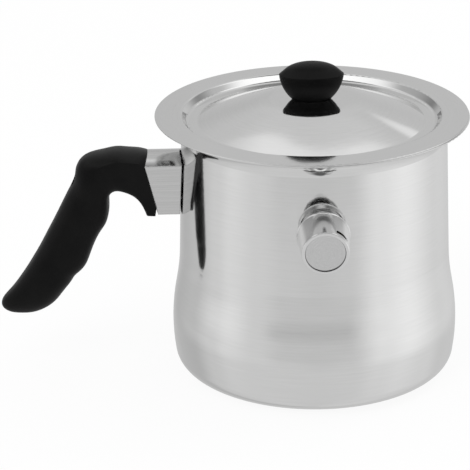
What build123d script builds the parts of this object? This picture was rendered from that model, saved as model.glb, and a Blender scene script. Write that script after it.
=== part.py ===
from build123d import *
import math
import os

# Double-walled milk boiler, millimetres, +Z up.
# The origin is the centre of the flat underside, on the axis of the pot.
# The handle points along -X and the whistling filler neck along -Y.

# Outer shell: a slightly narrowing upper wall over a wider belly.
# wall_r is the size of the pot, and every step runs from it.
wall_r = 80.0
wall_lean_deg = 1.8
belly_step = 5.0
belly_z = 28.8
belly_arc_r = 120.0
shoulder_arc_r = 128.0
corner_r = 10.4
base_arc_r = 54.0
base_step = 20.6
shell_sheet = 0.6

# Rim: the vessel's brim lies on the shell's flange and is hemmed round its edge
rim_z = 157.0
brim_w = 10.5
hem_r = 0.7
hem_gap = 0.05
flare_r = 10.0

# Inner vessel: widest at the mouth
mouth_step = 4.0
vessel_lean_deg = 1.5
vessel_sheet = 0.6
vessel_floor_z = 9.5
vessel_corner_r = 14.0
mouth_fillet_r = 4.0

# Lid: flat brim and raised centre with a sunk gutter between them, lying loose in the mouth
lid_overhang = 1.0
lid_sheet = 0.7
lid_recess_step = 3.2
lid_recess_depth = 4.2
lid_gutter_w = 6.3
lid_bend_r = 0.8
lid_gutter_bend_r = 2.4
lid_seat_rise = 8.2
lid_seat_r = 22.0
lid_shoulder_arc_r = 45.0
lid_shoulder_deg = 17.0
lid_foot_round = 2.5
lid_edge_round = 0.25
lid_shift = 1.5
lid_hole_r = 2.3

# Knob: oval in plan, a bowl with a domed top standing on the lid
knob_rim_half = 18.85
knob_base_half = 11.1
knob_oval_share = 0.605
knob_rim_h = 15.1
knob_top_h = 22.3
knob_dome_shares = [(0.70, 0.63), (0.36, 0.93)]
knob_edge_round = 0.5
knob_bowl_bulge = 1.6

# Knob fixing
insert_r = 3.6
insert_h = 10.0
insert_flange_r = 4.4
insert_flange_h = 1.2
knob_screw_r = 2.0
knob_screw_engaged = 8.0
knob_screw_head_r = 3.6
knob_screw_head_h = 2.2
knob_washer_r = 5.0
knob_washer_h = 0.8
driver_slot_w = 1.0
driver_slot_depth_share = 0.45

# Filler neck: distances along it run from its root, and its drop from the rim
neck_drop = 40.3
neck_tilt_deg = 7.0
neck_outer_r = 12.0
neck_sheet = 0.8
neck_length = 17.0
neck_stub = 1.0
collar_r = 13.05
collar_length = 1.4

# Whistle: a tapered sleeve pushed over the neck, closed by a sunk end disc
whistle_rear_at = 9.2
whistle_front_at = 30.0
whistle_rear_r = 14.75
whistle_front_r = 13.1
whistle_sheet = 0.7
whistle_lip_r = 0.7
whistle_front_lip_in_r = 11.3
whistle_front_lip_l = 0.9
whistle_front_round = 0.6
end_disc_l = 0.8
slit_at = 24.9
slit_l = 2.7
slit_saw_r = 10.0
slit_depth = 1.8
slit_turn_deg = 45.0
jet_plate_l = 0.5
jet_rear_at = 19.3
jet_gap = 2.6
jet_hole_r = 1.5
seal_at = 12.4
seal_l = 4.2
seal_clearance = 0.3
retainer_l = 0.6
retainer_clearance = 0.5

# Handle ferrule: a pressed sleeve with a sharp crease on each side.
# The handle's drops run down from the rim and its distances out from wall_r.
ferrule_crease_half = 14.5
ferrule_crease_drop = 25.8
ferrule_top_drop = 21.8
ferrule_low_half = 10.5
ferrule_low_drop = 57.4
ferrule_bottom_drop = 59.4
ferrule_sheet = 0.8
ferrule_stand_off = 0.8
ferrule_low_out = 12.3
ferrule_crease_out = 19.5
ferrule_top_out = 17.8

# Handle grip
grip_reach = 96.0
grip_tall = 102.3
grip_top_drop = 19.5
grip_front_out = 12.4
grip_half_w = 14.9
grip_oval_power = 2.5
grip_nose_out = 11.0
grip_nose_clearance = 0.4
grip_overlap = 0.3
grip_arch_out = 26.0

# Handle fixing
bracket_w = 15.0
bracket_low_drop = 49.0
bracket_high_drop = 27.0
bracket_sheet = 1.5
bolt_drop = 36.5
bolt_r = 2.5
bolt_clearance = 0.3
bolt_head_r = 4.5
bolt_head_h = 3.2
bolt_head_out = 51.0
bolt_end_out = 3.5
washer_r = 4.8
washer_h = 1.0
counterbore_r = 5.2
nut_half_flat = 4.0
nut_h = 4.0

# Running past a face, for every cut
overrun = 3.0

# Radii that follow the size of the pot
belly_r = wall_r + belly_step
base_flat_r = wall_r - base_step
hem_outer_r = wall_r + brim_w
vessel_bore_r = wall_r - mouth_step
lid_r = hem_outer_r + lid_overhang
lid_recess_top_r = vessel_bore_r
lid_recess_floor_r = lid_recess_top_r - lid_recess_step

# Heights that follow the rim
neck_z = rim_z - neck_drop
ferrule_crease_z = rim_z - ferrule_crease_drop
ferrule_top_z = rim_z - ferrule_top_drop
ferrule_low_z = rim_z - ferrule_low_drop
ferrule_bottom_z = rim_z - ferrule_bottom_drop
grip_top_z = rim_z - grip_top_drop
bracket_low_z = rim_z - bracket_low_drop
bracket_high_z = rim_z - bracket_high_drop
bolt_z = rim_z - bolt_drop

# Distances of the handle from the axis
ferrule_low_x = wall_r + ferrule_low_out
ferrule_crease_x = wall_r + ferrule_crease_out
ferrule_top_x = wall_r + ferrule_top_out
grip_front_x = wall_r + grip_front_out
grip_nose_x = wall_r + grip_nose_out
grip_arch_x = wall_r + grip_arch_out
bolt_head_x = wall_r + bolt_head_out
bolt_end_x = wall_r + bolt_end_out


def on_profile(radius, height):
    """A point of a turned section, in the XZ plane."""
    return Vector(radius, 0, height)


def arc_edge(centre, radius, start_deg, end_deg):
    """Arc in the XZ plane about centre, from one angle to the other."""
    points = []
    for angle in (start_deg, (start_deg + end_deg) / 2, end_deg):
        turn = math.radians(angle)
        across = centre[0] + radius * math.cos(turn)
        points.append(on_profile(across, centre[1] + radius * math.sin(turn)))
    return ThreePointArc(*points)


def circles_meet(first, first_r, second, second_r):
    """The outer one of the two points where two circles of a section meet."""
    apart = math.dist(first, second)
    along = (first_r**2 - second_r**2 + apart**2) / (2 * apart)
    across = math.sqrt(first_r**2 - along**2)
    step = ((second[0] - first[0]) / apart, (second[1] - first[1]) / apart)
    foot = (first[0] + along * step[0], first[1] + along * step[1])
    sides = [(foot[0] - way * across * step[1], foot[1] + way * across * step[0]) for way in (-1, 1)]
    return max(sides)


def direction_deg(start, end):
    return math.degrees(math.atan2(end[1] - start[1], end[0] - start[0]))


def turned(edges):
    """Closes the edges into a face and turns it about Z."""
    return revolve(make_face(Wire(edges)), axis=Axis.Z)


def ring_between(low_z, high_z, bore, outer):
    """A plain ring about Z between two heights."""
    height = high_z - low_z
    ring = Cylinder(outer, height, align=(Align.CENTER, Align.CENTER, Align.MIN))
    if bore > 0:
        ring = ring - Cylinder(bore, height, align=(Align.CENTER, Align.CENTER, Align.MIN))
    return Pos(0, 0, low_z) * ring


def rod_x(radius, near_x, far_x, height):
    """A round bar that lies along X at a height, between two distances on the handle's side."""
    bar = Cylinder(radius, far_x - near_x, align=(Align.CENTER, Align.CENTER, Align.MIN))
    return Pos(-near_x, 0, height) * Rot(0, -90, 0) * bar


# Centres of the shell's tangent arcs
belly_centre = (belly_r - belly_arc_r, belly_z)
base_centre = (base_flat_r, base_arc_r)
corner_centre = circles_meet(base_centre, base_arc_r - corner_r, belly_centre, belly_arc_r - corner_r)
shoulder_x = wall_r + shoulder_arc_r
shoulder_rise = math.sqrt((belly_arc_r + shoulder_arc_r) ** 2 - (shoulder_x - belly_centre[0]) ** 2)
shoulder_centre = (shoulder_x, belly_z + shoulder_rise)
wall_lean = math.radians(wall_lean_deg)
wall_foot_x = shoulder_x - shoulder_arc_r * math.cos(wall_lean)
wall_foot_z = shoulder_centre[1] - shoulder_arc_r * math.sin(wall_lean)
base_end_deg = direction_deg(base_centre, corner_centre)
corner_end_deg = direction_deg(belly_centre, corner_centre)
belly_end_deg = direction_deg(belly_centre, shoulder_centre)
flange_r = hem_outer_r - 2 * hem_r - hem_gap
flange_top_z = rim_z - vessel_sheet
flare_z = flange_top_z - shell_sheet - flare_r
wall_run = (flare_z - wall_foot_z - flare_r * math.sin(wall_lean)) / math.cos(wall_lean)
flare_centre = (wall_foot_x - wall_run * math.sin(wall_lean) + flare_r * math.cos(wall_lean), flare_z)

# Centres of the inner vessel's arcs
vessel_lean = math.radians(vessel_lean_deg)
mouth_centre = (vessel_bore_r + mouth_fillet_r, rim_z - mouth_fillet_r)
vessel_floor_centre_z = vessel_floor_z + vessel_corner_r
vessel_arcs_r = mouth_fillet_r + vessel_corner_r
vessel_drop = mouth_centre[1] - vessel_floor_centre_z + vessel_arcs_r * math.sin(vessel_lean)
vessel_inward = vessel_arcs_r * math.cos(vessel_lean) + vessel_drop * math.tan(vessel_lean)
vessel_floor_centre = (mouth_centre[0] - vessel_inward, vessel_floor_centre_z)


def shell_line(inset):
    """The shell's outer line moved inwards by inset, from the axis to the flange's edge."""
    wall_deg = 180 + wall_lean_deg
    shoulder = arc_edge(shoulder_centre, shoulder_arc_r + inset, belly_end_deg + 180, wall_deg)
    flare = arc_edge(flare_centre, flare_r + inset, wall_deg, 90)
    return [
        Line(on_profile(0, inset), on_profile(base_flat_r, inset)),
        arc_edge(base_centre, base_arc_r - inset, -90, base_end_deg),
        arc_edge(corner_centre, corner_r - inset, base_end_deg, corner_end_deg),
        arc_edge(belly_centre, belly_arc_r - inset, corner_end_deg, belly_end_deg),
        shoulder,
        Line(shoulder @ 1, flare @ 0),
        flare,
        Line(
            on_profile(flare_centre[0], flange_top_z - shell_sheet + inset),
            on_profile(flange_r, flange_top_z - shell_sheet + inset),
        ),
    ]


def vessel_line(outset):
    """The vessel's inner line moved outwards, from the axis to the middle of the hem."""
    floor_z = vessel_floor_z - outset
    corner = arc_edge(vessel_floor_centre, vessel_corner_r + outset, -90, -vessel_lean_deg)
    mouth = arc_edge(mouth_centre, mouth_fillet_r - outset, 180 - vessel_lean_deg, 90)
    return [
        Line(on_profile(0, floor_z), on_profile(vessel_floor_centre[0], floor_z)),
        corner,
        Line(corner @ 1, mouth @ 0),
        mouth,
        Line(on_profile(mouth_centre[0], rim_z - outset), on_profile(hem_outer_r - hem_r, rim_z - outset)),
    ]


def sheet_between(near, far):
    """Turned sheet between two parallel lines."""
    ends = [near[-1] @ 1, far[-1] @ 1]
    starts = [near[0] @ 0, far[0] @ 0]
    return turned(near + [Line(*ends)] + far + [Line(*starts)])


def inside_shell(inset):
    """All the space inside the shell's outer line moved inwards."""
    line = shell_line(inset)
    end = line[-1] @ 1
    top = on_profile(0, end.Z)
    return turned(line + [Line(end, top), Line(top, line[0] @ 0)])


# Frame of the filler neck: its Z runs outwards along the neck
tilt = math.radians(neck_tilt_deg)
neck_plane = Plane(
    origin=(0, -wall_r, neck_z),
    x_dir=(1, 0, 0),
    z_dir=(0, -math.cos(tilt), -math.sin(tilt)),
)


def make_outer_shell():
    shell = sheet_between(shell_line(0), shell_line(shell_sheet))
    hole = Cylinder(neck_outer_r, collar_r)
    return shell - neck_plane * hole


def make_inner_vessel():
    vessel = sheet_between(vessel_line(0), vessel_line(vessel_sheet))
    hem = Pos(0, 0, rim_z - hem_r) * Torus(hem_outer_r - hem_r, hem_r)
    return vessel + hem


def make_filler_neck():
    inside_r = neck_outer_r - neck_sheet
    tube = ring_between(-collar_r, neck_length, inside_r, neck_outer_r)
    return neck_plane * tube - inside_shell(shell_sheet + neck_stub)


def make_neck_collar():
    ring = ring_between(-collar_r, collar_length, neck_outer_r, collar_r)
    return neck_plane * ring - inside_shell(0)


# Lid heights
lid_top_z = rim_z + lid_sheet
lid_gutter_z = lid_top_z - lid_recess_depth
lid_seat_z = lid_top_z + lid_seat_rise
lid_foot_r = lid_recess_floor_r - lid_gutter_w
lid_place = Pos(-lid_shift, 0, 0)

# The raised centre falls in a tight arc round the flat seat, then in a wide one to its foot
lid_shoulder = math.radians(lid_shoulder_deg)
lid_shoulder_centre = (lid_seat_r, lid_seat_z - lid_shoulder_arc_r)
lid_shoulder_end_r = lid_seat_r + lid_shoulder_arc_r * math.sin(lid_shoulder)
lid_shoulder_end_z = lid_shoulder_centre[1] + lid_shoulder_arc_r * math.cos(lid_shoulder)
lid_flank_run = lid_foot_r - lid_shoulder_end_r
lid_flank_fall = lid_shoulder_end_z - lid_gutter_z
lid_flank_turn = lid_flank_fall * math.cos(lid_shoulder) - lid_flank_run * math.sin(lid_shoulder)
lid_flank_arc_r = (lid_flank_run**2 + lid_flank_fall**2) / (2 * lid_flank_turn)
lid_flank_centre = (
    lid_shoulder_end_r - lid_flank_arc_r * math.sin(lid_shoulder),
    lid_shoulder_end_z - lid_flank_arc_r * math.cos(lid_shoulder),
)


def lid_line(drop):
    """The lid's upper line, lowered square to the sheet, from the hole's axis to the edge."""
    shoulder = arc_edge(lid_shoulder_centre, lid_shoulder_arc_r - drop, 90, 90 - lid_shoulder_deg)
    flank_r = lid_flank_arc_r - drop
    foot_deg = math.degrees(math.asin((lid_gutter_z - drop - lid_flank_centre[1]) / flank_r))
    flank = arc_edge(lid_flank_centre, flank_r, 90 - lid_shoulder_deg, foot_deg)
    slope = math.atan2(lid_recess_depth, lid_recess_top_r - lid_recess_floor_r)
    side = drop * math.tan(slope / 2)
    bends = FilletPolyline(
        flank @ 1,
        on_profile(lid_recess_floor_r + side, lid_gutter_z - drop),
        on_profile(lid_recess_top_r + side, lid_top_z - drop),
        on_profile(lid_r, lid_top_z - drop),
        radius=[lid_gutter_bend_r + drop, lid_bend_r + lid_sheet - drop],
    )
    return [Line(on_profile(0, lid_seat_z - drop), shoulder @ 0), shoulder, flank, *bends.edges()]


def make_lid_plate():
    top = lid_line(0)
    under = lid_line(lid_sheet)
    edges = top + under
    edges.append(Line(on_profile(lid_r, lid_top_z), on_profile(lid_r, rim_z)))
    edges.append(Line(on_profile(0, lid_seat_z), on_profile(0, lid_seat_z - lid_sheet)))
    plate = turned(edges)
    circles = plate.edges().filter_by(GeomType.CIRCLE)
    feet = circles.filter_by(lambda edge: abs(edge.radius - lid_foot_r) < lid_bend_r)
    plate = fillet(feet, lid_foot_round)
    circles = plate.edges().filter_by(GeomType.CIRCLE)
    rim = circles.filter_by(lambda edge: edge.radius > lid_r - lid_edge_round)
    plate = fillet(rim, lid_edge_round)
    hole = ring_between(lid_seat_z - overrun, lid_seat_z + overrun, 0, lid_hole_r)
    return lid_place * (plate - hole)


def bulged_line(start, end, bulge):
    """The slightly rounded side of the knob, bulging away from the chord."""
    run = end - start
    across = Vector(run.Z, 0, -run.X).normalized()
    middle = (start + end) * 0.5 + across * bulge
    return ThreePointArc(start, middle, end)


def make_knob():
    base = on_profile(knob_base_half, 0)
    rim = on_profile(knob_rim_half, knob_rim_h)
    top = on_profile(0, knob_top_h)
    rise = knob_top_h - knob_rim_h
    dome = [on_profile(knob_rim_half * across, knob_rim_h + rise * up) for across, up in knob_dome_shares]
    edges = [
        Line(on_profile(0, 0), base),
        bulged_line(base, rim, knob_bowl_bulge),
        Spline(rim, *dome, top, tangents=[dome[0] - rim, Vector(-1, 0, 0)]),
        Line(top, on_profile(0, 0)),
    ]
    round_knob = turned(edges)
    rings = round_knob.edges().filter_by(GeomType.CIRCLE)
    softened = rings.filter_by(lambda edge: edge.radius >= knob_base_half)
    round_knob = fillet(softened, knob_edge_round)
    oval = scale(round_knob, by=(1, knob_oval_share, 1))
    bore = ring_between(0, insert_h, 0, insert_r) + ring_between(0, insert_flange_h, 0, insert_flange_r)
    return lid_place * Pos(0, 0, lid_seat_z) * (oval - bore)


def make_knob_insert():
    insert = ring_between(0, insert_h, 0, insert_r) + ring_between(0, insert_flange_h, 0, insert_flange_r)
    insert = insert - ring_between(0, knob_screw_engaged, 0, knob_screw_r)
    return lid_place * Pos(0, 0, lid_seat_z) * insert


def make_knob_screw():
    under_z = lid_seat_z - lid_sheet - knob_washer_h
    shank = ring_between(under_z, lid_seat_z + knob_screw_engaged, 0, knob_screw_r)
    head = ring_between(under_z - knob_screw_head_h, under_z, 0, knob_screw_head_r)
    depth = knob_screw_head_h * driver_slot_depth_share
    slot_l = 2 * knob_screw_head_r + overrun
    slot = Box(slot_l, driver_slot_w, depth, align=(Align.CENTER, Align.CENTER, Align.MIN))
    slot = Pos(0, 0, under_z - knob_screw_head_h) * slot
    return lid_place * (shank + head - slot)


def make_knob_washer():
    under_z = lid_seat_z - lid_sheet
    return lid_place * ring_between(under_z - knob_washer_h, under_z, lid_hole_r, knob_washer_r)


def whistle_radius(at):
    """Outer radius of the sleeve at a distance along the neck."""
    share = (at - whistle_rear_at) / (whistle_front_at - whistle_rear_at)
    return whistle_rear_r + share * (whistle_front_r - whistle_rear_r)


def whistle_cavity(start, end):
    """The sleeve's inside between two distances along the neck."""
    near_r = whistle_radius(start) - whistle_sheet
    far_r = whistle_radius(end) - whistle_sheet
    edges = [
        Line(on_profile(0, start), on_profile(near_r, start)),
        Line(on_profile(near_r, start), on_profile(far_r, end)),
        Line(on_profile(far_r, end), on_profile(0, end)),
        Line(on_profile(0, end), on_profile(0, start)),
    ]
    return turned(edges)


whistle_lip_back_at = whistle_front_at - whistle_front_lip_l


def make_whistle_sleeve():
    front_r = whistle_radius(whistle_front_at)
    rear_r = whistle_radius(whistle_rear_at)
    edges = [
        Line(on_profile(0, whistle_rear_at), on_profile(rear_r, whistle_rear_at)),
        Line(on_profile(rear_r, whistle_rear_at), on_profile(front_r, whistle_front_at)),
        Line(on_profile(front_r, whistle_front_at), on_profile(0, whistle_front_at)),
        Line(on_profile(0, whistle_front_at), on_profile(0, whistle_rear_at)),
    ]
    body = turned(edges)
    front_edge = body.edges().filter_by(GeomType.CIRCLE).sort_by(Axis.Z)[-1]
    body = fillet(front_edge, whistle_front_round)
    lip_at = whistle_rear_at + whistle_lip_r
    body = body + Pos(0, 0, lip_at) * Torus(whistle_radius(lip_at) - whistle_lip_r / 2, whistle_lip_r)
    body = body - whistle_cavity(whistle_rear_at - overrun, whistle_lip_back_at)
    body = body - ring_between(whistle_lip_back_at, whistle_front_at, 0, whistle_front_lip_in_r)
    saw_x = whistle_radius(slit_at) + slit_saw_r - slit_depth
    slit = Pos(saw_x, 0, 0) * ring_between(slit_at, slit_at + slit_l, 0, slit_saw_r)
    slit = Rot(0, 0, slit_turn_deg) * slit
    return neck_plane * (body - slit)


def make_whistle_end_disc():
    return neck_plane * whistle_cavity(whistle_lip_back_at - end_disc_l, whistle_lip_back_at)


def make_jet_plate(at):
    plate = whistle_cavity(at, at + jet_plate_l)
    return neck_plane * (plate - ring_between(at - overrun, at + overrun, 0, jet_hole_r))


def make_whistle_seal():
    ring = whistle_cavity(seal_at, seal_at + seal_l)
    bore = ring_between(seal_at, seal_at + seal_l, 0, neck_outer_r + seal_clearance)
    return neck_plane * (ring - bore)


def make_seal_retainer():
    ring = whistle_cavity(seal_at - retainer_l, seal_at)
    bore = ring_between(seal_at - retainer_l, seal_at, 0, neck_outer_r + retainer_clearance)
    return neck_plane * (ring - bore)


def ferrule_section(inset):
    """The sleeve's section in the YZ plane, moved inwards by inset."""
    crease = ferrule_crease_half - inset
    low = ferrule_low_half - inset
    low_z = ferrule_low_z + inset / 2
    top = ThreePointArc(
        Vector(0, -crease, ferrule_crease_z - inset / 2),
        Vector(0, 0, ferrule_top_z - inset),
        Vector(0, crease, ferrule_crease_z - inset / 2),
    )
    bottom = ThreePointArc(
        Vector(0, low, low_z), Vector(0, 0, ferrule_bottom_z + inset), Vector(0, -low, low_z)
    )
    sides = [Line(top @ 1, bottom @ 0), Line(bottom @ 1, top @ 0)]
    return make_face(Wire([top, sides[0], bottom, sides[1]]))


def along_handle(section, near_x, far_x):
    """A section drawn out along the handle between two distances from the pot's axis."""
    return Pos(-near_x, 0, 0) * extrude(section, amount=far_x - near_x, dir=(-1, 0, 0))


def ferrule_end_region(outward):
    """All the space on one side of the bent end face between ferrule and grip."""
    slope = (ferrule_crease_x - ferrule_low_x) / (ferrule_crease_z - ferrule_low_z)
    deep = ferrule_crease_z - ferrule_low_z
    low = Vector(-(ferrule_low_x - slope * deep), 0, ferrule_low_z - deep)
    crease = Vector(-ferrule_crease_x, 0, ferrule_crease_z)
    lean = (ferrule_crease_x - ferrule_top_x) / (ferrule_top_z - ferrule_crease_z)
    top = Vector(-(ferrule_crease_x - lean * deep), 0, ferrule_crease_z + deep)
    far_x = -(grip_front_x + grip_reach) if outward else 0
    corners = [low, crease, top, Vector(far_x, 0, top.Z), Vector(far_x, 0, low.Z)]
    face = make_face(Polyline(*corners, close=True))
    return extrude(face, amount=2 * grip_half_w, dir=(0, 1, 0), both=True)


def make_handle_ferrule():
    far_x = ferrule_crease_x + overrun
    sleeve = along_handle(ferrule_section(0), wall_r / 2, far_x)
    sleeve = sleeve - along_handle(ferrule_section(ferrule_sheet), wall_r / 2 - overrun, far_x + overrun)
    return sleeve - inside_shell(-ferrule_stand_off) - ferrule_end_region(True)


# Stations of the grip from its front end to its tip.
# Each gives the inner and the outer end of a section as shares of the grip's reach and height,
# then the half width as a share of the widest, and how far the section has become oval.
grip_station_shares = [
    (0.043, 0.523, -0.046, 0.038, 1.000, 0.00),
    (0.058, 0.435, 0.022, 0.025, 1.000, 0.00),
    (0.081, 0.357, 0.084, 0.016, 1.000, 0.00),
    (0.116, 0.296, 0.142, 0.008, 0.985, 0.08),
    (0.168, 0.258, 0.199, 0.003, 0.965, 0.20),
    (0.227, 0.240, 0.259, 0.000, 0.950, 0.40),
    (0.273, 0.247, 0.329, 0.012, 0.940, 0.62),
    (0.295, 0.277, 0.397, 0.025, 0.930, 0.82),
    (0.298, 0.318, 0.465, 0.061, 0.920, 1.00),
    (0.300, 0.362, 0.500, 0.124, 0.910, 1.00),
    (0.310, 0.411, 0.517, 0.187, 0.900, 1.00),
    (0.333, 0.461, 0.550, 0.251, 0.890, 1.00),
    (0.366, 0.507, 0.588, 0.320, 0.885, 1.00),
    (0.394, 0.558, 0.627, 0.392, 0.885, 1.00),
    (0.419, 0.615, 0.669, 0.466, 0.885, 1.00),
    (0.444, 0.676, 0.713, 0.543, 0.880, 1.00),
    (0.491, 0.736, 0.762, 0.625, 0.870, 1.00),
    (0.542, 0.789, 0.817, 0.709, 0.855, 1.00),
    (0.582, 0.840, 0.877, 0.791, 0.830, 1.00),
    (0.627, 0.895, 0.942, 0.867, 0.780, 1.00),
    (0.677, 0.943, 0.989, 0.920, 0.680, 1.00),
    (0.733, 0.975, 0.987, 0.961, 0.530, 1.00),
    (0.793, 0.992, 0.933, 0.988, 0.320, 1.00),
]

# The creased front section: width and height shares of points from the top to the bottom
crease_roof_shares = [(0.0, 1.0), (0.36, 0.974), (0.70, 0.895), (1.0, 0.788)]
crease_side_shares = [
    (0.95, 0.45),
    (0.90, 0.10),
    (0.85, -0.25),
    (0.80, -0.60),
    (0.72, -0.89),
    (0.40, -0.975),
]
oval_roof_angle_shares = [0.0, 0.12, 0.24, 0.36]
oval_side_angle_shares = [0.44, 0.51, 0.58, 0.67, 0.79, 0.90]


def oval_point(angle_share):
    """A point of a unit rounded oval, from its top at share 0 to its bottom at share 1."""
    angle = math.pi * angle_share
    power = 2 / grip_oval_power
    across = abs(math.sin(angle)) ** power
    up = math.copysign(abs(math.cos(angle)) ** power, math.cos(angle))
    return across, up


def blended(creased, angle_shares, oval):
    """Points between the creased section and the oval one."""
    points = []
    for (across, up), share in zip(creased, angle_shares):
        round_across, round_up = oval_point(share)
        points.append((across + oval * (round_across - across), up + oval * (round_up - up)))
    return points


def grip_section(inner_x, inner_z, outer_x, outer_z, width, oval):
    inner = Vector(-(grip_front_x + inner_x * grip_reach), 0, grip_top_z - inner_z * grip_tall)
    outer = Vector(-(grip_front_x + outer_x * grip_reach), 0, grip_top_z - outer_z * grip_tall)
    middle = (inner + outer) * 0.5
    half = (outer - inner) * 0.5
    half_w = grip_half_w * width

    def place(across, up):
        return middle + half * up + Vector(0, across * half_w, 0)

    roof = blended(crease_roof_shares, oval_roof_angle_shares, oval)
    side = blended(crease_side_shares, oval_side_angle_shares, oval)
    roof_points = [place(-a, u) for a, u in reversed(roof)] + [place(a, u) for a, u in roof[1:]]
    side_points = [place(*roof[-1])] + [place(a, u) for a, u in side] + [place(0, -1)]
    side_points += [place(-a, u) for a, u in reversed(side)] + [place(-roof[-1][0], roof[-1][1])]
    return Face(Wire([Spline(*roof_points), Spline(*side_points)]))


def below_ferrule():
    """The space under the ferrule's bottom line, carried on below the front of the grip."""
    low_z = ferrule_low_z - grip_overlap
    bottom = ThreePointArc(
        Vector(0, ferrule_low_half, low_z),
        Vector(0, 0, ferrule_bottom_z - grip_overlap),
        Vector(0, -ferrule_low_half, low_z),
    )
    corners = [
        bottom @ 1,
        Vector(0, -2 * grip_half_w, low_z),
        Vector(0, -2 * grip_half_w, low_z - 2 * grip_half_w),
        Vector(0, 2 * grip_half_w, low_z - 2 * grip_half_w),
        Vector(0, 2 * grip_half_w, low_z),
        bottom @ 0,
    ]
    face = make_face(Wire([bottom, *Polyline(*corners).edges()]))
    return along_handle(face, wall_r, grip_arch_x)


def make_handle_grip():
    body = loft([grip_section(*shares) for shares in grip_station_shares])
    body = body - ferrule_end_region(False) - below_ferrule()
    nose_section = ferrule_section(ferrule_sheet + grip_nose_clearance)
    nose = along_handle(nose_section, grip_nose_x, ferrule_crease_x + overrun)
    body = body + (nose - ferrule_end_region(True))
    body = body - rod_x(bolt_r + bolt_clearance, grip_nose_x - overrun, bolt_head_x, bolt_z)
    return body - rod_x(counterbore_r, bolt_head_x, grip_front_x + grip_reach, bolt_z)


def make_handle_bracket():
    tall = bracket_high_z - bracket_low_z
    lengthwise = (Align.MAX, Align.CENTER, Align.MIN)
    outside = Box(grip_nose_x, bracket_w, tall, align=lengthwise)
    inside = Box(grip_nose_x, bracket_w + overrun, tall - 2 * bracket_sheet, align=lengthwise)
    channel = Pos(0, 0, bracket_low_z) * outside
    channel = channel - Pos(bracket_sheet, 0, bracket_low_z + bracket_sheet) * inside
    channel = channel - inside_shell(0)
    return channel - rod_x(bolt_r, grip_nose_x - overrun, grip_nose_x + overrun, bolt_z)


def make_bracket_nut():
    plate_x = grip_nose_x - bracket_sheet
    hexagon = RegularPolygon(nut_half_flat, 6, major_radius=False)
    nut = Pos(-(plate_x - nut_h), 0, bolt_z) * Rot(0, -90, 0) * extrude(hexagon, amount=nut_h)
    return nut - rod_x(bolt_r, plate_x - nut_h - overrun, plate_x + overrun, bolt_z)


def make_handle_bolt():
    seat_x = bolt_head_x + washer_h
    head = rod_x(bolt_head_r, seat_x, seat_x + bolt_head_h, bolt_z)
    bolt = rod_x(bolt_r, bolt_end_x, seat_x, bolt_z) + head
    slot_depth = bolt_head_h * driver_slot_depth_share
    slot_l = 2 * bolt_head_r + overrun
    slot = Box(slot_depth, driver_slot_w, slot_l, align=(Align.MIN, Align.CENTER, Align.CENTER))
    return bolt - Pos(-(seat_x + bolt_head_h), 0, bolt_z) * slot


def make_bolt_washer():
    washer = rod_x(washer_r, bolt_head_x, bolt_head_x + washer_h, bolt_z)
    return washer - rod_x(bolt_r, bolt_head_x - overrun, bolt_head_x + overrun, bolt_z)


parts = {
    "outer_shell": make_outer_shell(),
    "inner_vessel": make_inner_vessel(),
    "filler_neck": make_filler_neck(),
    "neck_collar": make_neck_collar(),
    "handle_bracket": make_handle_bracket(),
    "bracket_nut": make_bracket_nut(),
    "handle_ferrule": make_handle_ferrule(),
    "handle_grip": make_handle_grip(),
    "handle_bolt": make_handle_bolt(),
    "bolt_washer": make_bolt_washer(),
    "lid_plate": make_lid_plate(),
    "knob": make_knob(),
    "knob_insert": make_knob_insert(),
    "knob_screw": make_knob_screw(),
    "knob_washer": make_knob_washer(),
    "whistle_sleeve": make_whistle_sleeve(),
    "whistle_end_disc": make_whistle_end_disc(),
    "whistle_rear_plate": make_jet_plate(jet_rear_at),
    "whistle_front_plate": make_jet_plate(jet_rear_at + jet_gap),
    "whistle_seal": make_whistle_seal(),
    "seal_retainer": make_seal_retainer(),
}

os.makedirs("parts", exist_ok=True)
for name, part in parts.items():
    export_step(part, f"parts/{name}.step")
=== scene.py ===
import math

import bpy
from mathutils import Matrix, Vector


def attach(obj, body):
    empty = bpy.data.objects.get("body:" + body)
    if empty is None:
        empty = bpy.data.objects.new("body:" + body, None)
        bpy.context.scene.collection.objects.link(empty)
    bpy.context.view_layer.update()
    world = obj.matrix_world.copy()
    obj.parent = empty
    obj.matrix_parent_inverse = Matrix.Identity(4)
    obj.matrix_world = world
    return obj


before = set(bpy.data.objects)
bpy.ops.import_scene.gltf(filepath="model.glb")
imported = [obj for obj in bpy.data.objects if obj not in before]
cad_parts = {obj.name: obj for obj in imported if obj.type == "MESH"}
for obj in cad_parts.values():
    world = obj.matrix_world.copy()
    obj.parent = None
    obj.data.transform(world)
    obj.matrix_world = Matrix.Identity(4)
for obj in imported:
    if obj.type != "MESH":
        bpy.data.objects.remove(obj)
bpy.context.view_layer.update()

# Milk boiler, metres, +Z up, origin at the centre of the flat underside.
# The handle points along -X and the filler neck with its whistle along -Y.
MM = 0.001

# Sizes that the seam and the finishes share with the solids
lid_shift = 1.5 * MM
neck_root = (0, -80 * MM, 116.7 * MM)
neck_tilt_deg = 7.0
collar_radius = 13.05 * MM
wall_radius_at_neck = 78.73 * MM
wall_narrowing_deg = 1.8
disc_radius = 11.3 * MM

NUMBER = "NodeSocketFloat"
PLACE = "NodeSocketVector"


# Helpers


def new_object(name, data):
    """A new object in the scene."""
    made = bpy.data.objects.new(name, data)
    bpy.context.collection.objects.link(made)
    return made


def cleared_tree(owner):
    """The empty node tree of a material or world."""
    owner.use_nodes = True
    owner.node_tree.nodes.clear()
    return owner.node_tree


def feed(tree, socket, value):
    """Links a socket to another one, or sets it to a value."""
    if isinstance(value, bpy.types.NodeSocket):
        tree.links.new(value, socket)
    else:
        socket.default_value = value


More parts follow.
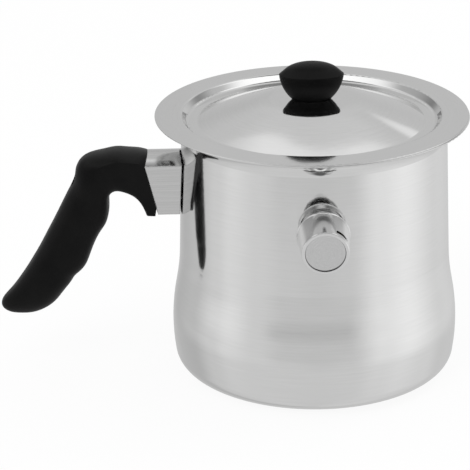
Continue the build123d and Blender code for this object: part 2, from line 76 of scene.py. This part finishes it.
def put(tree, kind, feeds=None, **settings):
    """A new node with its settings, its inputs set or linked."""
    made = tree.nodes.new(kind)
    for name, value in settings.items():
        setattr(made, name, value)
    for name, value in (feeds or {}).items():
        feed(tree, made.inputs[name], value)
    return made


def worked(tree, operation, first, second=0.0, third=0.0):
    """The result of one step of arithmetic."""
    feeds = {0: first, 1: second, 2: third}
    return put(tree, "ShaderNodeMath", feeds, operation=operation).outputs[0]


def plus(tree, first, second):
    return worked(tree, "ADD", first, second)


def minus(tree, first, second):
    return worked(tree, "SUBTRACT", first, second)


def times(tree, first, second):
    return worked(tree, "MULTIPLY", first, second)


def parts_of(tree, place):
    """The separate X, Y and Z of a place or direction."""
    return put(tree, "ShaderNodeSeparateXYZ", {0: place}).outputs


def place_of(tree, x, y, z):
    return put(tree, "ShaderNodeCombineXYZ", {0: x, 1: y, 2: z}).outputs[0]


def distance_from_axis(tree, parts):
    """How far a place lies from the Z axis."""
    squares = times(tree, parts["X"], parts["X"])
    squares = worked(tree, "MULTIPLY_ADD", parts["Y"], parts["Y"], squares)
    return worked(tree, "SQRT", squares)


def spread(tree, value, across, to=(0.0, 1.0), smooth=False):
    """The value carried from one range to another."""
    feeds = {
        "Value": value,
        "From Min": across[0],
        "From Max": across[1],
        "To Min": to[0],
        "To Max": to[1],
    }
    kind = "SMOOTHSTEP" if smooth else "LINEAR"
    return put(tree, "ShaderNodeMapRange", feeds, interpolation_type=kind).outputs["Result"]


def noise(tree, place, scale, detail, roughness, distortion=0.0):
    feeds = {
        "Vector": place,
        "Scale": scale,
        "Detail": detail,
        "Roughness": roughness,
        "Distortion": distortion,
    }
    return put(tree, "ShaderNodeTexNoise", feeds).outputs["Fac"]


def bumped(tree, height, depth, under=None):
    """The surface with a height pressed into it, on top of another bump if there is one."""
    feeds = {"Height": height, "Strength": 1.0, "Distance": depth}
    if under is not None:
        feeds["Normal"] = under
    return put(tree, "ShaderNodeBump", feeds).outputs[0]


def ramp(tree, value, stops):
    """A grey tone given at each stop."""
    made = put(tree, "ShaderNodeValToRGB", {"Fac": value})
    band = made.color_ramp
    band.interpolation = "EASE"
    band.elements[0].position = stops[0][0]
    band.elements[1].position = stops[-1][0]
    for position, _ in stops[1:-1]:
        band.elements.new(position)
    for element, (_, tone) in zip(band.elements, stops):
        element.color = (tone, tone, tone, 1.0)
    return made.outputs["Color"]


def opaque(colour):
    return (*colour, 1.0)


def blend_colours(tree, share, first, second):
    feeds = {0: share, 6: first, 7: second}
    return put(tree, "ShaderNodeMix", feeds, data_type="RGBA").outputs[2]


def name_sockets(tree, takes, gives):
    """Names the inputs and outputs of a node group."""
    for way, sockets in (("INPUT", takes), ("OUTPUT", gives)):
        for label, kind in sockets.items():
            tree.interface.new_socket(label, in_out=way, socket_type=kind)


def new_group(name, takes, gives):
    """A shader node group and the sockets that it starts from."""
    group = bpy.data.node_groups.new(name, "ShaderNodeTree")
    name_sockets(group, takes, gives)
    return group, put(group, "NodeGroupInput").outputs


def use_group(tree, group, feeds):
    return put(tree, "ShaderNodeGroup", feeds, node_tree=group).outputs


# Effects that several finishes share


def make_turned_place():
    """Places for marks that run round an axis: slow round it, fast along the profile."""
    takes = {"Place": PLACE, "Round": NUMBER, "Lines": NUMBER}
    group, start = new_group("turned place", takes, {"Place": PLACE})
    parts = parts_of(group, start["Place"])
    smallest_radius = 0.01 * MM
    radius = worked(group, "MAXIMUM", distance_from_axis(group, parts), smallest_radius)
    turn = worked(group, "DIVIDE", start["Round"], radius)
    place = place_of(
        group,
        times(group, parts["X"], turn),
        times(group, parts["Y"], turn),
        times(group, plus(group, radius, parts["Z"]), start["Lines"]),
    )
    put(group, "NodeGroupOutput", {"Place": place})
    return group


def make_polish_lines():
    """Fine polishing or brushing lines: a mask of streaks and their height."""
    gives = {"Streak": NUMBER, "Height": NUMBER}
    group, start = new_group("polish lines", {"Place": PLACE}, gives)
    fine_share = 0.35
    streak_range = (0.36, 0.64)
    coarse = noise(group, start["Place"], scale=1.0, detail=5.0, roughness=0.62)
    fine = noise(group, start["Place"], scale=3.7, detail=2.0, roughness=0.5)
    coarse_part = times(group, coarse, 1 - fine_share)
    both = worked(group, "MULTIPLY_ADD", fine, fine_share, coarse_part)
    streak = spread(group, both, streak_range)
    put(group, "NodeGroupOutput", {"Streak": streak, "Height": both})
    return group


def make_handling_haze():
    """Faint haze and wiping marks of a used, clean surface, and its low waves."""
    takes = {"Place": PLACE, "Scale": NUMBER}
    group, start = new_group("handling haze", takes, {"Haze": NUMBER, "Wave": NUMBER})
    place, scale = start["Place"], start["Scale"]
    mark_scale, mark_range, mark_strength = 4.3, (0.3, 0.75), (0.35, 1.0)
    patch_range = (0.42, 0.7)
    wide = noise(group, place, scale, detail=4.0, roughness=0.6, distortion=0.6)
    marks = noise(group, place, times(group, scale, mark_scale), detail=3.0, roughness=0.7)
    patches = spread(group, wide, patch_range)
    haze = times(group, patches, spread(group, marks, mark_range, mark_strength))
    put(group, "NodeGroupOutput", {"Haze": haze, "Wave": wide})
    return group


def make_moulded_skin():
    """The skin of a moulded piece: a low orange peel and a slight mottle."""
    takes = {"Place": PLACE, "Peel": NUMBER}
    group, start = new_group("moulded skin", takes, {"Height": NUMBER, "Mottle": NUMBER})
    place, scale = start["Place"], start["Peel"]
    pit_scale, pit_depth = 3.4, 0.3
    mottle_scale, mottle_range = 0.12, (0.35, 0.68)
    peel = noise(group, place, scale, detail=2.0, roughness=0.5)
    pits = noise(group, place, times(group, scale, pit_scale), detail=1.0, roughness=0.5)
    mottle = noise(group, place, times(group, scale, mottle_scale), detail=5.0, roughness=0.65)
    feeds = {
        "Height": worked(group, "MULTIPLY_ADD", pits, pit_depth, peel),
        "Mottle": spread(group, mottle, mottle_range),
    }
    put(group, "NodeGroupOutput", feeds)
    return group


turned_place = make_turned_place()
polish_lines = make_polish_lines()
handling_haze = make_handling_haze()
moulded_skin = make_moulded_skin()


# Finishes


def new_finish(name):
    """A material with only its shader, and the places that its marks are laid by."""
    made = bpy.data.materials.new(name)
    tree = cleared_tree(made)
    shader = put(tree, "ShaderNodeBsdfPrincipled")
    put(tree, "ShaderNodeOutputMaterial", {"Surface": shader.outputs["BSDF"]})
    place = put(tree, "ShaderNodeTexCoord").outputs["Object"]
    return made, tree, shader, place


def fed_by(shader, name):
    """The socket that already feeds an input of the shader."""
    return shader.inputs[name].links[0].from_socket


def on_axis(tree, place, at, turn_deg):
    """Places measured from an axis at a point, turned from +Z about X."""
    feeds = {"Vector": place, "Location": at, "Rotation": (math.radians(turn_deg), 0, 0)}
    return put(tree, "ShaderNodeMapping", feeds, vector_type="TEXTURE").outputs[0]


def metal_finish(tree, shader, place, lines_place, look):
    """Joins lines, haze and the two tones of a metal to its shader."""
    lines = use_group(tree, polish_lines, {"Place": lines_place})
    haze = use_group(tree, handling_haze, {"Place": place, "Scale": look["haze_scale"]})
    tone = blend_colours(tree, lines["Streak"], opaque(look["dark"]), opaque(look["light"]))
    streaked = spread(tree, lines["Streak"], (0.0, 1.0), look["rough"])
    rough = worked(tree, "MULTIPLY_ADD", haze["Haze"], look["haze_rough"], streaked)
    edge = put(tree, "ShaderNodeBevel", {"Radius": look["edge"]}, samples=6).outputs[0]
    wave = bumped(tree, haze["Wave"], look["wave_depth"], edge)
    feed(tree, shader.inputs["Base Color"], tone)
    feed(tree, shader.inputs["Roughness"], rough)
    feed(tree, shader.inputs["Normal"], bumped(tree, lines["Height"], look["line_depth"], wave))
    feed(tree, shader.inputs["Metallic"], 1.0)


def satin_the_inside(tree, shader, parts, inside):
    """A lighter, satin finish below the mouth, within the wall: the part that milk touches."""
    wall = (inside["radius"], inside["radius"] + inside["wall_fade"])
    mouth = (inside["top"] - inside["mouth_fade"], inside["top"])
    within = spread(tree, distance_from_axis(tree, parts), wall, (1.0, 0.0), smooth=True)
    below = spread(tree, parts["Z"], mouth, (1.0, 0.0), smooth=True)
    share = times(tree, within, below)
    tone = blend_colours(tree, share, fed_by(shader, "Base Color"), opaque(inside["tone"]))
    rough = worked(tree, "MULTIPLY_ADD", share, inside["rougher"], fed_by(shader, "Roughness"))
    feed(tree, shader.inputs["Base Color"], tone)
    feed(tree, shader.inputs["Roughness"], rough)


def paint_joint_shade(tree, shader, parts, joint):
    """Painted shade: the thin dark line where the sunk disc meets the lip round it."""
    line = (joint["radius"] - joint["starts"], joint["radius"] - joint["full"])
    far = distance_from_axis(tree, parts)
    share = spread(tree, far, line, (0.0, joint["strength"]), smooth=True)
    tone = blend_colours(tree, share, fed_by(shader, "Base Color"), opaque(joint["tone"]))
    feed(tree, shader.inputs["Base Color"], tone)


# The circle that the lines of turned metal run round, as a radius in steps of the noise:
# a larger one breaks them into shorter streaks
streak_circle = 2.2


def turned_metal(name, look, lines, at=(0, 0, 0), turn_deg=0.0):
    """A metal polished round an axis, with this many lines per metre along its profile."""
    made, tree, shader, place = new_finish(name)
    centred = on_axis(tree, place, at, turn_deg)
    feeds = {"Place": centred, "Round": streak_circle, "Lines": lines}
    lines_place = use_group(tree, turned_place, feeds)["Place"]
    metal_finish(tree, shader, place, lines_place, look)
    # Painted shade in the joint round the sunk disc
    if "joint" in look:
        paint_joint_shade(tree, shader, parts_of(tree, centred), look["joint"])
    if "inside" in look:
        satin_the_inside(tree, shader, parts_of(tree, centred), look["inside"])
    return made


def brushed_metal(name, look, lines, anisotropic=0.0):
    """A metal brushed one way, with this many lines per metre along X, Y and Z."""
    made, tree, shader, place = new_finish(name)
    lines_place = put(tree, "ShaderNodeMapping", {"Vector": place, "Scale": lines}).outputs[0]
    metal_finish(tree, shader, place, lines_place, look)
    shader.inputs["Anisotropic"].default_value = anisotropic
    return made


pot_look = {
    "dark": (0.706, 0.706, 0.703),
    "light": (0.738, 0.738, 0.736),
    "rough": (0.06, 0.09),
    "haze_scale": 22.0,
    "haze_rough": 0.05,
    "wave_depth": 0.08 * MM,
    "line_depth": 0.002 * MM,
    "edge": 0.2 * MM,
}
inside_look = {
    "radius": 79 * MM,
    "wall_fade": 1.5 * MM,
    "top": 153 * MM,
    "mouth_fade": 6 * MM,
    "tone": (0.93, 0.93, 0.925),
    "rougher": 0.3,
}
# The painted joint shade darkens from "starts" to "full", both measured inwards from its radius
joint_shade_look = {
    "radius": disc_radius,
    "starts": 0.55 * MM,
    "full": 0.1 * MM,
    "tone": (0.05, 0.05, 0.05),
    "strength": 0.85,
}
vessel_look = dict(pot_look, inside=inside_look)
lid_look = dict(pot_look, rough=(0.045, 0.08), wave_depth=0.03 * MM)
whistle_look = dict(
    pot_look,
    dark=(0.70, 0.70, 0.70),
    light=(0.76, 0.76, 0.76),
    rough=(0.06, 0.11),
    haze_scale=60.0,
    wave_depth=0.03 * MM,
    line_depth=0.003 * MM,
    edge=0.35 * MM,
)
disc_look = dict(
    whistle_look,
    dark=(0.58, 0.58, 0.58),
    light=(0.68, 0.68, 0.68),
    rough=(0.16, 0.26),
    wave_depth=0.1 * MM,
    # painted shade where the disc meets the lip
    joint=joint_shade_look,
)
seam_look = dict(
    pot_look,
    dark=(0.60, 0.60, 0.60),
    light=(0.72, 0.72, 0.72),
    rough=(0.12, 0.2),
)
ferrule_look = dict(
    pot_look,
    dark=(0.55, 0.55, 0.548),
    light=(0.64, 0.64, 0.638),
    rough=(0.12, 0.19),
    haze_scale=40.0,
    wave_depth=0.05 * MM,
    line_depth=0.006 * MM,
    edge=0.9 * MM,
)
zinc_look = dict(
    pot_look,
    dark=(0.60, 0.61, 0.64),
    light=(0.72, 0.73, 0.75),
    rough=(0.22, 0.36),
    haze_scale=150.0,
    wave_depth=0.03 * MM,
    line_depth=0.006 * MM,
)
brass_look = dict(
    pot_look,
    dark=(0.62, 0.45, 0.20),
    light=(0.78, 0.61, 0.31),
    rough=(0.20, 0.32),
    haze_scale=120.0,
    wave_depth=0.03 * MM,
    line_depth=0.008 * MM,
)

# Lines per metre
pot_lines = 1400.0
lid_lines = 1600.0
whistle_lines = 2600.0
brass_lines = 3000.0
ferrule_lines = (14.0, 1100.0, 1100.0)
zinc_lines = (300.0, 300.0, 300.0)

# Where each axis stands and how far it is turned from +Z about X
neck_axis = (neck_root, 90 + neck_tilt_deg)
knob_axis = ((-lid_shift, 0, 0), 0.0)

pot_steel = turned_metal("polished pot steel", pot_look, pot_lines)
vessel_steel = turned_metal("vessel steel", vessel_look, pot_lines)
neck_steel = turned_metal("polished neck steel", pot_look, pot_lines, *neck_axis)
lid_steel = turned_metal("turned lid steel", lid_look, lid_lines, *knob_axis)
whistle_steel = turned_metal("whistle steel", whistle_look, whistle_lines, *neck_axis)
disc_steel = turned_metal("satin disc steel", disc_look, whistle_lines, *neck_axis)
seam_steel = turned_metal("brazed seam steel", seam_look, pot_lines, *neck_axis)
ferrule_steel = brushed_metal(
    "brushed ferrule steel", ferrule_look, ferrule_lines, anisotropic=0.3
)
zinc_plate = brushed_metal("bright zinc plate", zinc_look, zinc_lines)
insert_brass = turned_metal("turned brass", brass_look, brass_lines, *knob_axis)
jet_brass = turned_metal("stamped brass", brass_look, brass_lines, *neck_axis)

bakelite_look = {
    "dark": (0.002, 0.002, 0.0021),
    "light": (0.0045, 0.0044, 0.0043),
    "rough": (0.34, 0.42),
    "peel": 620.0,
    "peel_depth": 0.03 * MM,
    "haze_scale": 45.0,
    "haze_rough": 0.12,
    # Painted sheen: the lighter tone of faces that point up, the upward range it fades in over,
    # and its least share
    "painted_top_sheen": (0.01, 0.01, 0.0097),
    "sheen_facing_up": (0.35, 0.9),
    "least_sheen": 0.5,
    "specular": 0.12,
}
silicone_look = {
    "dark": (0.50, 0.50, 0.48),
    "light": (0.60, 0.60, 0.58),
    "rough": (0.5, 0.62),
    "peel": 1500.0,
    "peel_depth": 0.02 * MM,
    "subsurface": 0.15,
    "subsurface_radius": (2 * MM, 2 * MM, 2 * MM),
}


def moulded_finish(name, look):
    """A moulded material: its skin and its two tones."""
    made, tree, shader, place = new_finish(name)
    skin = use_group(tree, moulded_skin, {"Place": place, "Peel": look["peel"]})
    tone = blend_colours(tree, skin["Mottle"], opaque(look["dark"]), opaque(look["light"]))
    rough = spread(tree, skin["Mottle"], (0.0, 1.0), look["rough"])
    feed(tree, shader.inputs["Base Color"], tone)
    feed(tree, shader.inputs["Roughness"], rough)
    feed(tree, shader.inputs["Normal"], bumped(tree, skin["Height"], look["peel_depth"]))
    return made, tree, shader, place


def black_bakelite_finish():
    """Satin black phenolic, with a painted sheen: greyer on faces that point up, in uneven
    patches.
    """
    look = bakelite_look
    made, tree, shader, place = moulded_finish("black bakelite", look)
    feeds = {"Place": place, "Scale": look["haze_scale"]}
    haze = use_group(tree, handling_haze, feeds)["Haze"]
    faces = parts_of(tree, put(tree, "ShaderNodeNewGeometry").outputs["Normal"])
    # Painted sheen: faces that point up are blended towards a lighter grey, unevenly
    top = spread(tree, faces["Z"], look["sheen_facing_up"], smooth=True)
    uneven = spread(tree, haze, (0.0, 1.0), (look["least_sheen"], 1.0))
    painted_top_sheen = times(tree, top, uneven)
    tone = blend_colours(tree, painted_top_sheen, fed_by(shader, "Base Color"), opaque(look["painted_top_sheen"]))
    rough = worked(tree, "MULTIPLY_ADD", haze, look["haze_rough"], fed_by(shader, "Roughness"))
    feed(tree, shader.inputs["Base Color"], tone)
    feed(tree, shader.inputs["Roughness"], rough)
    shader.inputs["Specular IOR Level"].default_value = look["specular"]
    return made


def silicone_finish():
    """Matt translucent grey silicone."""
    look = silicone_look
    made, _, shader, _ = moulded_finish("grey silicone", look)
    shader.inputs["Subsurface Weight"].default_value = look["subsurface"]
    shader.inputs["Subsurface Radius"].default_value = look["subsurface_radius"]
    return made


black_bakelite = black_bakelite_finish()
grey_silicone = silicone_finish()

finishes = {
    "outer_shell": pot_steel,
    "inner_vessel": vessel_steel,
    "filler_neck": neck_steel,
    "neck_collar": neck_steel,
    "handle_bracket": zinc_plate,
    "bracket_nut": zinc_plate,
    "handle_ferrule": ferrule_steel,
    "handle_grip": black_bakelite,
    "handle_bolt": zinc_plate,
    "bolt_washer": zinc_plate,
    "lid_plate": lid_steel,
    "knob": black_bakelite,
    "knob_insert": insert_brass,
    "knob_screw": zinc_plate,
    "knob_washer": zinc_plate,
    "whistle_sleeve": whistle_steel,
    "whistle_end_disc": disc_steel,
    "whistle_rear_plate": jet_brass,
    "whistle_front_plate": jet_brass,
    "whistle_seal": grey_silicone,
    "seal_retainer": whistle_steel,
}
for name, finish in finishes.items():
    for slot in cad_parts[name].material_slots:
        slot.material = finish


# Seam round the neck


def make_seam_tree():
    """Overlapping ripples of a brazed seam along the edge of the neck's collar on the wall."""
    tree = bpy.data.node_groups.new("brazed seam", "GeometryNodeTree")
    tree.is_modifier = True
    takes = {
        "Collar radius": NUMBER,
        "Wall radius": NUMBER,
        "Wall narrowing": NUMBER,
        "Root": PLACE,
        "Tilt": NUMBER,
        "Ripples": "NodeSocketInt",
        "Ripple size": NUMBER,
        "Smallest ripple": NUMBER,
        "Largest ripple": NUMBER,
        "Seed": "NodeSocketInt",
        "Finish": "NodeSocketMaterial",
    }
    name_sockets(tree, takes, {"Geometry": "NodeSocketGeometry"})
    start = put(tree, "NodeGroupInput").outputs
    feeds = {"Resolution": 256, "Radius": start["Collar radius"]}
    ring = put(tree, "GeometryNodeCurvePrimitiveCircle", feeds, mode="RADIUS").outputs["Curve"]
    flat = parts_of(tree, put(tree, "GeometryNodeInputPosition").outputs[0])
    root = parts_of(tree, start["Root"])
    lean = worked(tree, "SINE", start["Tilt"])
    level = worked(tree, "COSINE", start["Tilt"])
    # The collar's edge in the tilted plane of its root
    high = worked(tree, "MULTIPLY_ADD", flat["Y"], level, root["Z"])
    out = minus(tree, root["Y"], times(tree, flat["Y"], lean))
    # The wall at that height, then along the neck to it
    narrowed = times(tree, minus(tree, high, root["Z"]), start["Wall narrowing"])
    wall = minus(tree, start["Wall radius"], narrowed)
    squares = minus(tree, times(tree, wall, wall), times(tree, flat["X"], flat["X"]))
    wall_out = times(tree, worked(tree, "SQRT", squares), -1.0)
    along = worked(tree, "DIVIDE", minus(tree, out, wall_out), level)
    edge = place_of(tree, flat["X"], wall_out, minus(tree, high, times(tree, along, lean)))
    feeds = {"Geometry": ring, "Position": edge}
    path = put(tree, "GeometryNodeSetPosition", feeds).outputs[0]
    feeds = {"Curve": path, "Count": start["Ripples"]}
    spots = put(tree, "GeometryNodeCurveToPoints", feeds, mode="COUNT").outputs
    feeds = {"Radius": start["Ripple size"], "Subdivisions": 3}
    ripple = put(tree, "GeometryNodeMeshIcoSphere", feeds).outputs["Mesh"]
    feeds = {0: start["Smallest ripple"], 1: start["Largest ripple"], "Seed": start["Seed"]}
    uneven = put(tree, "FunctionNodeRandomValue", feeds, data_type="FLOAT_VECTOR").outputs[0]
    feeds = {
        "Points": spots["Points"],
        "Instance": ripple,
        "Rotation": spots["Rotation"],
        "Scale": uneven,
    }
    ripples = put(tree, "GeometryNodeInstanceOnPoints", feeds).outputs[0]
    real = put(tree, "GeometryNodeRealizeInstances", {"Geometry": ripples}).outputs[0]
    feeds = {"Geometry": real, "Material": start["Finish"]}
    finished = put(tree, "GeometryNodeSetMaterial", feeds).outputs[0]
    put(tree, "NodeGroupOutput", {"Geometry": finished})
    return tree


def plain_mesh_of(tree, name, values):
    """Runs a geometry tree once and keeps its result as a plain mesh."""
    holder = new_object(name + " maker", bpy.data.meshes.new(name + " maker"))
    maker = holder.modifiers.new(name, "NODES")
    maker.node_group = tree
    for socket in tree.interface.items_tree:
        if socket.item_type == "SOCKET" and socket.in_out == "INPUT":
            maker[socket.identifier] = values[socket.name]
    seen = holder.evaluated_get(bpy.context.evaluated_depsgraph_get())
    mesh = bpy.data.meshes.new_from_object(seen)
    bpy.data.objects.remove(holder)
    mesh.name = name
    piece = new_object(name, mesh)
    for face in mesh.polygons:
        face.use_smooth = True
    return piece


seam_values = {
    "Collar radius": collar_radius,
    "Wall radius": wall_radius_at_neck,
    "Wall narrowing": math.tan(math.radians(wall_narrowing_deg)),
    "Root": neck_root,
    "Tilt": math.radians(neck_tilt_deg),
    "Ripples": 116,
    "Ripple size": 0.5 * MM,
    "Smallest ripple": 0.85,
    "Largest ripple": 1.1,
    "Seed": 7,
    "Finish": seam_steel,
}
neck_seam = plain_mesh_of(make_seam_tree(), "neck_seam", seam_values)
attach(neck_seam, "pot")


# Studio: soft tones that the polished metal sees round it. Each band is at a height in degrees.
# Its stops run from 0 behind the pot, over its left at 0.25 and the front at 0.5, to 1.
tone_bands = [
    (-60, [(0.0, 0.68), (0.17, 0.58), (0.24, 0.73), (0.36, 0.77), (0.5, 0.74),
           (0.61, 0.78), (0.69, 0.8), (0.78, 0.78), (0.84, 0.71), (1.0, 0.68)]),
    (-25, [(0.0, 0.6), (0.17, 0.57), (0.24, 0.73), (0.29, 0.8), (0.36, 0.77), (0.5, 0.76),
           (0.58, 0.77), (0.64, 0.86), (0.7, 0.91), (0.78, 0.84), (0.85, 0.72), (1.0, 0.6)]),
    (-19.5, [(0.0, 0.62), (0.08, 0.55), (0.17, 0.67), (0.24, 0.81), (0.28, 0.9), (0.36, 0.81),
             (0.43, 0.75), (0.5, 0.72), (0.57, 0.75), (0.65, 0.98), (0.72, 1.07),
             (0.84, 0.84), (1.0, 0.62)]),
    (-17, [(0.0, 0.64), (0.08, 0.55), (0.17, 0.64), (0.24, 0.79), (0.29, 0.9), (0.36, 0.8),
           (0.42, 0.71), (0.5, 0.69), (0.57, 0.72), (0.65, 0.98), (0.72, 1.09),
           (0.84, 0.84), (1.0, 0.64)]),
    (-9, [(0.0, 0.62), (0.1, 0.55), (0.17, 0.65), (0.25, 0.9), (0.29, 0.97), (0.36, 0.8),
          (0.44, 0.7), (0.56, 0.7), (0.65, 1.02), (0.72, 1.1), (0.84, 0.8), (1.0, 0.62)]),
    (-2, [(0.0, 0.6), (0.1, 0.52), (0.17, 0.62), (0.25, 0.95), (0.3, 1.0), (0.36, 0.8),
          (0.41, 0.58), (0.56, 0.57), (0.62, 0.9), (0.72, 1.08), (0.84, 0.78), (1.0, 0.6)]),
    (14, [(0.0, 0.6), (0.05, 0.58), (0.1, 0.28), (0.17, 0.4), (0.25, 0.6), (0.38, 0.4),
          (0.46, 0.16), (0.54, 0.16), (0.64, 0.5), (0.75, 0.8), (0.84, 0.28), (0.9, 0.64),
          (1.0, 0.62)]),
    (34, [(0.0, 0.72), (0.06, 0.68), (0.12, 0.5), (0.3, 0.55), (0.45, 0.2), (0.55, 0.2),
          (0.7, 0.7), (0.79, 0.62), (0.85, 0.42), (0.91, 0.68), (1.0, 0.72)]),
    (46, [(0.0, 0.72), (0.14, 0.8), (0.25, 1.2), (0.36, 1.35), (0.5, 1.45), (0.64, 1.4),
          (0.78, 1.3), (0.86, 0.8), (1.0, 0.72)]),
    (57, [(0.0, 0.73), (0.14, 0.8), (0.25, 1.2), (0.36, 1.35), (0.5, 1.45), (0.64, 1.4),
          (0.78, 1.3), (0.86, 0.8), (1.0, 0.73)]),
    (63, [(0.0, 0.74), (0.12, 0.6), (0.22, 0.2), (0.78, 0.2), (0.88, 0.6), (1.0, 0.74)]),
    (74, [(0.0, 0.6), (0.15, 0.4), (0.3, 0.12), (0.7, 0.12), (0.85, 0.4), (1.0, 0.6)]),
    (83, [(0.0, 0.3), (1.0, 0.3)]),
]
# A soft lamp behind the pot on the right, its half widths where it starts to fade and ends
back_lamp_direction = (0.366, 0.790, 0.492)
back_lamp_fade_deg = (0.5, 4.6)
back_lamp_gain = 0.3
# A long curved window high behind the pot: its lower edge drops away from its middle.
# Its place and its fades are measured along the parts of a direction of length 1.
window_middle = 0.05
window_edge = 0.85
window_drop = 2.3
window_edge_fade = (-0.014, 0.012)
window_ends_fade = (0.2, 0.34)
window_front_fade = (0.3, 0.45)
window_gain = 0.27


def banded_tone(tree, parts):
    """The tone of the bands, each blended into the next one up."""
    # The turn round the pot as a share of a full circle, 0.5 at the front
    angle = worked(tree, "ARCTAN2", parts["X"], times(tree, parts["Y"], -1.0))
    turn = worked(tree, "MULTIPLY_ADD", angle, 0.5 / math.pi, 0.5)
    tone = ramp(tree, turn, tone_bands[0][1])
    for (last, _), (height, stops) in zip(tone_bands, tone_bands[1:]):
        rise = (math.sin(math.radians(last)), math.sin(math.radians(height)))
        share = spread(tree, parts["Z"], rise, smooth=True)
        tone = blend_colours(tree, share, tone, ramp(tree, turn, stops))
    return tone


def lamp_light(tree, direction):
    feeds = {0: direction, 1: back_lamp_direction}
    near = put(tree, "ShaderNodeVectorMath", feeds, operation="DOT_PRODUCT").outputs["Value"]
    inner, outer = (math.cos(math.radians(angle)) for angle in back_lamp_fade_deg)
    return spread(tree, near, (outer, inner), (0.0, back_lamp_gain), smooth=True)


def window_light(tree, parts):
    aside = minus(tree, parts["X"], window_middle)
    drop = times(tree, times(tree, aside, aside), window_drop)
    above = minus(tree, plus(tree, parts["Z"], drop), window_edge)
    lit = spread(tree, above, window_edge_fade, (0.0, window_gain), smooth=True)
    far_aside = worked(tree, "ABSOLUTE", aside)
    ended = spread(tree, far_aside, window_ends_fade, (1.0, 0.0), smooth=True)
    back = spread(tree, parts["Y"], window_front_fade, smooth=True)
    return times(tree, times(tree, lit, ended), back)


def mirrored_tone(tree, direction):
    """The tone of the studio in a direction from the pot."""
    parts = parts_of(tree, direction)
    light = plus(tree, lamp_light(tree, direction), window_light(tree, parts))
    feeds = {0: banded_tone(tree, parts), 1: light}
    return put(tree, "ShaderNodeVectorMath", feeds, operation="ADD").outputs[0]


white = (1.0, 1.0, 1.0, 1.0)
plain_light_level = 0.72
floor_half_width = 6.0
floor_tone = (0.9, 0.9, 0.9, 1.0)
floor_glow = 1.03
floor_share_of_white = 0.87


def seen_straight(tree, rays):
    """One where the camera sees a thing directly, else zero."""
    return worked(tree, "MAXIMUM", rays["Is Camera Ray"], rays["Is Transmission Ray"])


def background(tree, colour, level):
    feeds = {"Color": colour, "Strength": level}
    return put(tree, "ShaderNodeBackground", feeds).outputs[0]


def blend_shaders(tree, share, first, second):
    return put(tree, "ShaderNodeMixShader", {0: share, 1: first, 2: second}).outputs[0]


def light_the_world():
    """White behind the pot, plain light on it and the toned studio in its mirrors."""
    world = bpy.data.worlds.new("studio")
    bpy.context.scene.world = world
    tree = cleared_tree(world)
    rays = put(tree, "ShaderNodeLightPath").outputs
    direction = put(tree, "ShaderNodeTexCoord").outputs["Generated"]
    plain = background(tree, white, plain_light_level)
    seen = background(tree, white, 1.0)
    mirrored = background(tree, mirrored_tone(tree, direction), 1.0)
    first = blend_shaders(tree, seen_straight(tree, rays), plain, seen)
    both = blend_shaders(tree, rays["Is Glossy Ray"], first, mirrored)
    put(tree, "ShaderNodeOutputWorld", {"Surface": both})


def plain_floor_finish():
    """A matt floor that takes shadows, most of it lifted to the white behind the pot."""
    finish = bpy.data.materials.new("plain floor")
    tree = cleared_tree(finish)
    rays = put(tree, "ShaderNodeLightPath").outputs
    matt = put(tree, "ShaderNodeBsdfDiffuse", {"Color": floor_tone}).outputs[0]
    feeds = {"Color": white, "Strength": floor_glow}
    seen = put(tree, "ShaderNodeEmission", feeds).outputs[0]
    share = times(tree, seen_straight(tree, rays), floor_share_of_white)
    feeds = {"Surface": blend_shaders(tree, share, matt, seen)}
    put(tree, "ShaderNodeOutputMaterial", feeds)
    return finish


def lay_the_floor():
    half = floor_half_width
    corners = [(-half, -half, 0), (half, -half, 0), (half, half, 0), (-half, half, 0)]
    mesh = bpy.data.meshes.new("floor")
    mesh.from_pydata(corners, [], [(0, 1, 2, 3)])
    mesh.materials.append(plain_floor_finish())
    floor = new_object("floor", mesh)
    floor.visible_glossy = False


pot_middle = Vector((0, 0, 90 * MM))


def hang_lamp(name, at, size, watts):
    """A large soft lamp that points at the middle of the pot."""
    lamp = bpy.data.lights.new(name, "AREA")
    lamp.shape = "DISK"
    lamp.size = size
    lamp.energy = watts
    holder = new_object(name, lamp)
    aim = (pot_middle - Vector(at)).to_track_quat("-Z", "Y")
    holder.matrix_world = Matrix.Translation(at) @ aim.to_matrix().to_4x4()
    holder.visible_glossy = False


light_the_world()
lay_the_floor()
hang_lamp("key lamp", at=(-0.9, -1.1, 1.5), size=1.2, watts=7.0)
hang_lamp("fill lamp", at=(1.2, 0.6, 1.4), size=1.2, watts=4.0)


# Camera fitted to the photo: lens and sensor in mm, and the way it faces
photo_lens = 167.06
photo_sensor = 36.0
camera_right = Vector((0.99961, -0.02451, -0.01329))
camera_up = Vector((0.02143, 0.37083, 0.92846))
camera_forward = Vector((0.01783, 0.92838, -0.37121))
camera_at = Vector((-70.26, -1205.98, 563.7)) * MM


def set_camera():
    lens = bpy.data.cameras.new("camera")
    lens.sensor_width = photo_sensor
    lens.lens = photo_lens
    lens.dof.use_dof = False
    holder = new_object("camera", lens)
    turned = Matrix((camera_right, camera_up, -camera_forward)).transposed().to_4x4()
    turned.translation = camera_at
    holder.matrix_world = turned
    bpy.context.scene.camera = holder


set_camera()
bpy.context.scene.view_settings.view_transform = "Standard"
